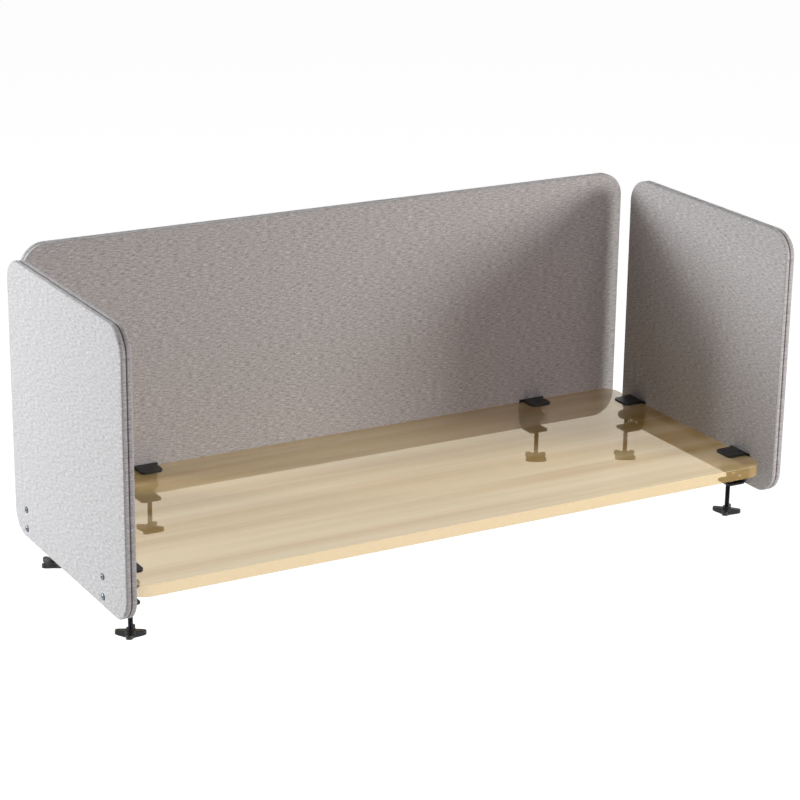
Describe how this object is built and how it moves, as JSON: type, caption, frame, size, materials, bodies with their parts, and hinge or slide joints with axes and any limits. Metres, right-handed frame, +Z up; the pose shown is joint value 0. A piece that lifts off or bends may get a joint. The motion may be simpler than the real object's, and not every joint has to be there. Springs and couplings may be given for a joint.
{
  "type": "study carrel",
  "caption": "Study carrel: a wood-faced desktop edged by fabric-covered privacy panels that screw clamps grip to its back and sides.",
  "frame": {"origin": "middle of the desktop's underside, at the centre of the four desk-frame holes", "axes": "+X to the sitter's right along the desktop's long side, +Y away from the sitter towards the back panel, +Z up"},
  "size_m": [1.2276, 0.5208, 0.524],
  "materials": {
    "melange_fabric": "heathered light-grey woven fabric, wrapped over a board",
    "panel_core": "dark dyed hardboard, seen only as a seam",
    "oak_laminate": "pale oak woodgrain laminate, satin",
    "edge_band": "oak-coloured edge banding, satin",
    "black_coated_steel": "black powder coat, satin",
    "blackened_steel": "black-oxide steel, slightly shiny",
    "zinc_plate": "bright zinc plate",
    "black_nylon": "moulded black nylon",
    "black_rubber": "matt black rubber"
  },
  "bodies": {
    "carrel": {"back_panel_inner_cover": "melange_fabric", "back_panel_outer_cover": "melange_fabric", "back_panel_core": "panel_core", "left_panel_inner_cover": "melange_fabric", "left_panel_outer_cover": "melange_fabric", "left_panel_core": "panel_core", "right_panel_inner_cover": "melange_fabric", "right_panel_outer_cover": "melange_fabric", "right_panel_core": "panel_core", "desktop_board": "oak_laminate", "desktop_edge_band": "edge_band", "back_left_upper_jaw": "black_coated_steel", "back_left_lower_jaw": "black_coated_steel", "back_left_jaw_pad": "black_rubber", "back_right_upper_jaw": "black_coated_steel", "back_right_lower_jaw": "black_coated_steel", "back_right_jaw_pad": "black_rubber", "left_rear_upper_jaw": "black_coated_steel", "left_rear_lower_jaw": "black_coated_steel", "left_rear_jaw_pad": "black_rubber", "left_front_upper_jaw": "black_coated_steel", "left_front_lower_jaw": "black_coated_steel", "left_front_jaw_pad": "black_rubber", "right_rear_upper_jaw": "black_coated_steel", "right_rear_lower_jaw": "black_coated_steel", "right_rear_jaw_pad": "black_rubber", "right_front_upper_jaw": "black_coated_steel", "right_front_lower_jaw": "black_coated_steel", "right_front_jaw_pad": "black_rubber", "panel_screws": "blackened_steel", "jaw_bolts": "zinc_plate"},
    "back_left_disc": {"back_left_pressure_disc": "black_nylon", "back_left_disc_facing": "black_rubber"},
    "back_left_screw": {"back_left_clamp_screw": "blackened_steel", "back_left_star_knob": "black_nylon"},
    "back_right_disc": {"back_right_pressure_disc": "black_nylon", "back_right_disc_facing": "black_rubber"},
    "back_right_screw": {"back_right_clamp_screw": "blackened_steel", "back_right_star_knob": "black_nylon"},
    "left_rear_disc": {"left_rear_pressure_disc": "black_nylon", "left_rear_disc_facing": "black_rubber"},
    "left_rear_screw": {"left_rear_clamp_screw": "blackened_steel", "left_rear_star_knob": "black_nylon"},
    "left_front_disc": {"left_front_pressure_disc": "black_nylon", "left_front_disc_facing": "black_rubber"},
    "left_front_screw": {"left_front_clamp_screw": "blackened_steel", "left_front_star_knob": "black_nylon"},
    "right_rear_disc": {"right_rear_pressure_disc": "black_nylon", "right_rear_disc_facing": "black_rubber"},
    "right_rear_screw": {"right_rear_clamp_screw": "blackened_steel", "right_rear_star_knob": "black_nylon"},
    "right_front_disc": {"right_front_pressure_disc": "black_nylon", "right_front_disc_facing": "black_rubber"},
    "right_front_screw": {"right_front_clamp_screw": "blackened_steel", "right_front_star_knob": "black_nylon"}
  },
  "joints": [
    {"name": "back_left_travel", "type": "slide", "parent": "carrel", "child": "back_left_disc", "axis": [0, 0, -1], "range_m": [0, 0.016]},
    {"name": "back_left_turn", "type": "hinge", "parent": "back_left_disc", "child": "back_left_screw", "pos_m": [-0.365, 0.218, -0.007], "axis": [0, 0, -1], "range_deg": [0, 4610]},
    {"name": "back_right_travel", "type": "slide", "parent": "carrel", "child": "back_right_disc", "axis": [0, 0, -1], "range_m": [0, 0.016]},
    {"name": "back_right_turn", "type": "hinge", "parent": "back_right_disc", "child": "back_right_screw", "pos_m": [0.415, 0.218, -0.007], "axis": [0, 0, -1], "range_deg": [0, 4610]},
    {"name": "left_rear_travel", "type": "slide", "parent": "carrel", "child": "left_rear_disc", "axis": [0, 0, -1], "range_m": [0, 0.016]},
    {"name": "left_rear_turn", "type": "hinge", "parent": "left_rear_disc", "child": "left_rear_screw", "pos_m": [-0.568, 0.15, -0.007], "axis": [0, 0, -1], "range_deg": [0, 4610]},
    {"name": "left_front_travel", "type": "slide", "parent": "carrel", "child": "left_front_disc", "axis": [0, 0, -1], "range_m": [0, 0.016]},
    {"name": "left_front_turn", "type": "hinge", "parent": "left_front_disc", "child": "left_front_screw", "pos_m": [-0.568, -0.168, -0.007], "axis": [0, 0, -1], "range_deg": [0, 4610]},
    {"name": "right_rear_travel", "type": "slide", "parent": "carrel", "child": "right_rear_disc", "axis": [0, 0, -1], "range_m": [0, 0.016]},
    {"name": "right_rear_turn", "type": "hinge", "parent": "right_rear_disc", "child": "right_rear_screw", "pos_m": [0.568, 0.15, -0.007], "axis": [0, 0, -1], "range_deg": [0, 4610]},
    {"name": "right_front_travel", "type": "slide", "parent": "carrel", "child": "right_front_disc", "axis": [0, 0, -1], "range_m": [0, 0.016]},
    {"name": "right_front_turn", "type": "hinge", "parent": "right_front_disc", "child": "right_front_screw", "pos_m": [0.568, -0.168, -0.007], "axis": [0, 0, -1], "range_deg": [0, 4610]}
  ],
  "couplings": [
    {"joint": "back_left_turn", "follows": "back_left_travel", "rad_per_m": 5026.5},
    {"joint": "back_right_turn", "follows": "back_right_travel", "rad_per_m": 5026.5},
    {"joint": "left_rear_turn", "follows": "left_rear_travel", "rad_per_m": 5026.5},
    {"joint": "left_front_turn", "follows": "left_front_travel", "rad_per_m": 5026.5},
    {"joint": "right_rear_turn", "follows": "right_rear_travel", "rad_per_m": 5026.5},
    {"joint": "right_front_turn", "follows": "right_front_travel", "rad_per_m": 5026.5}
  ]
}
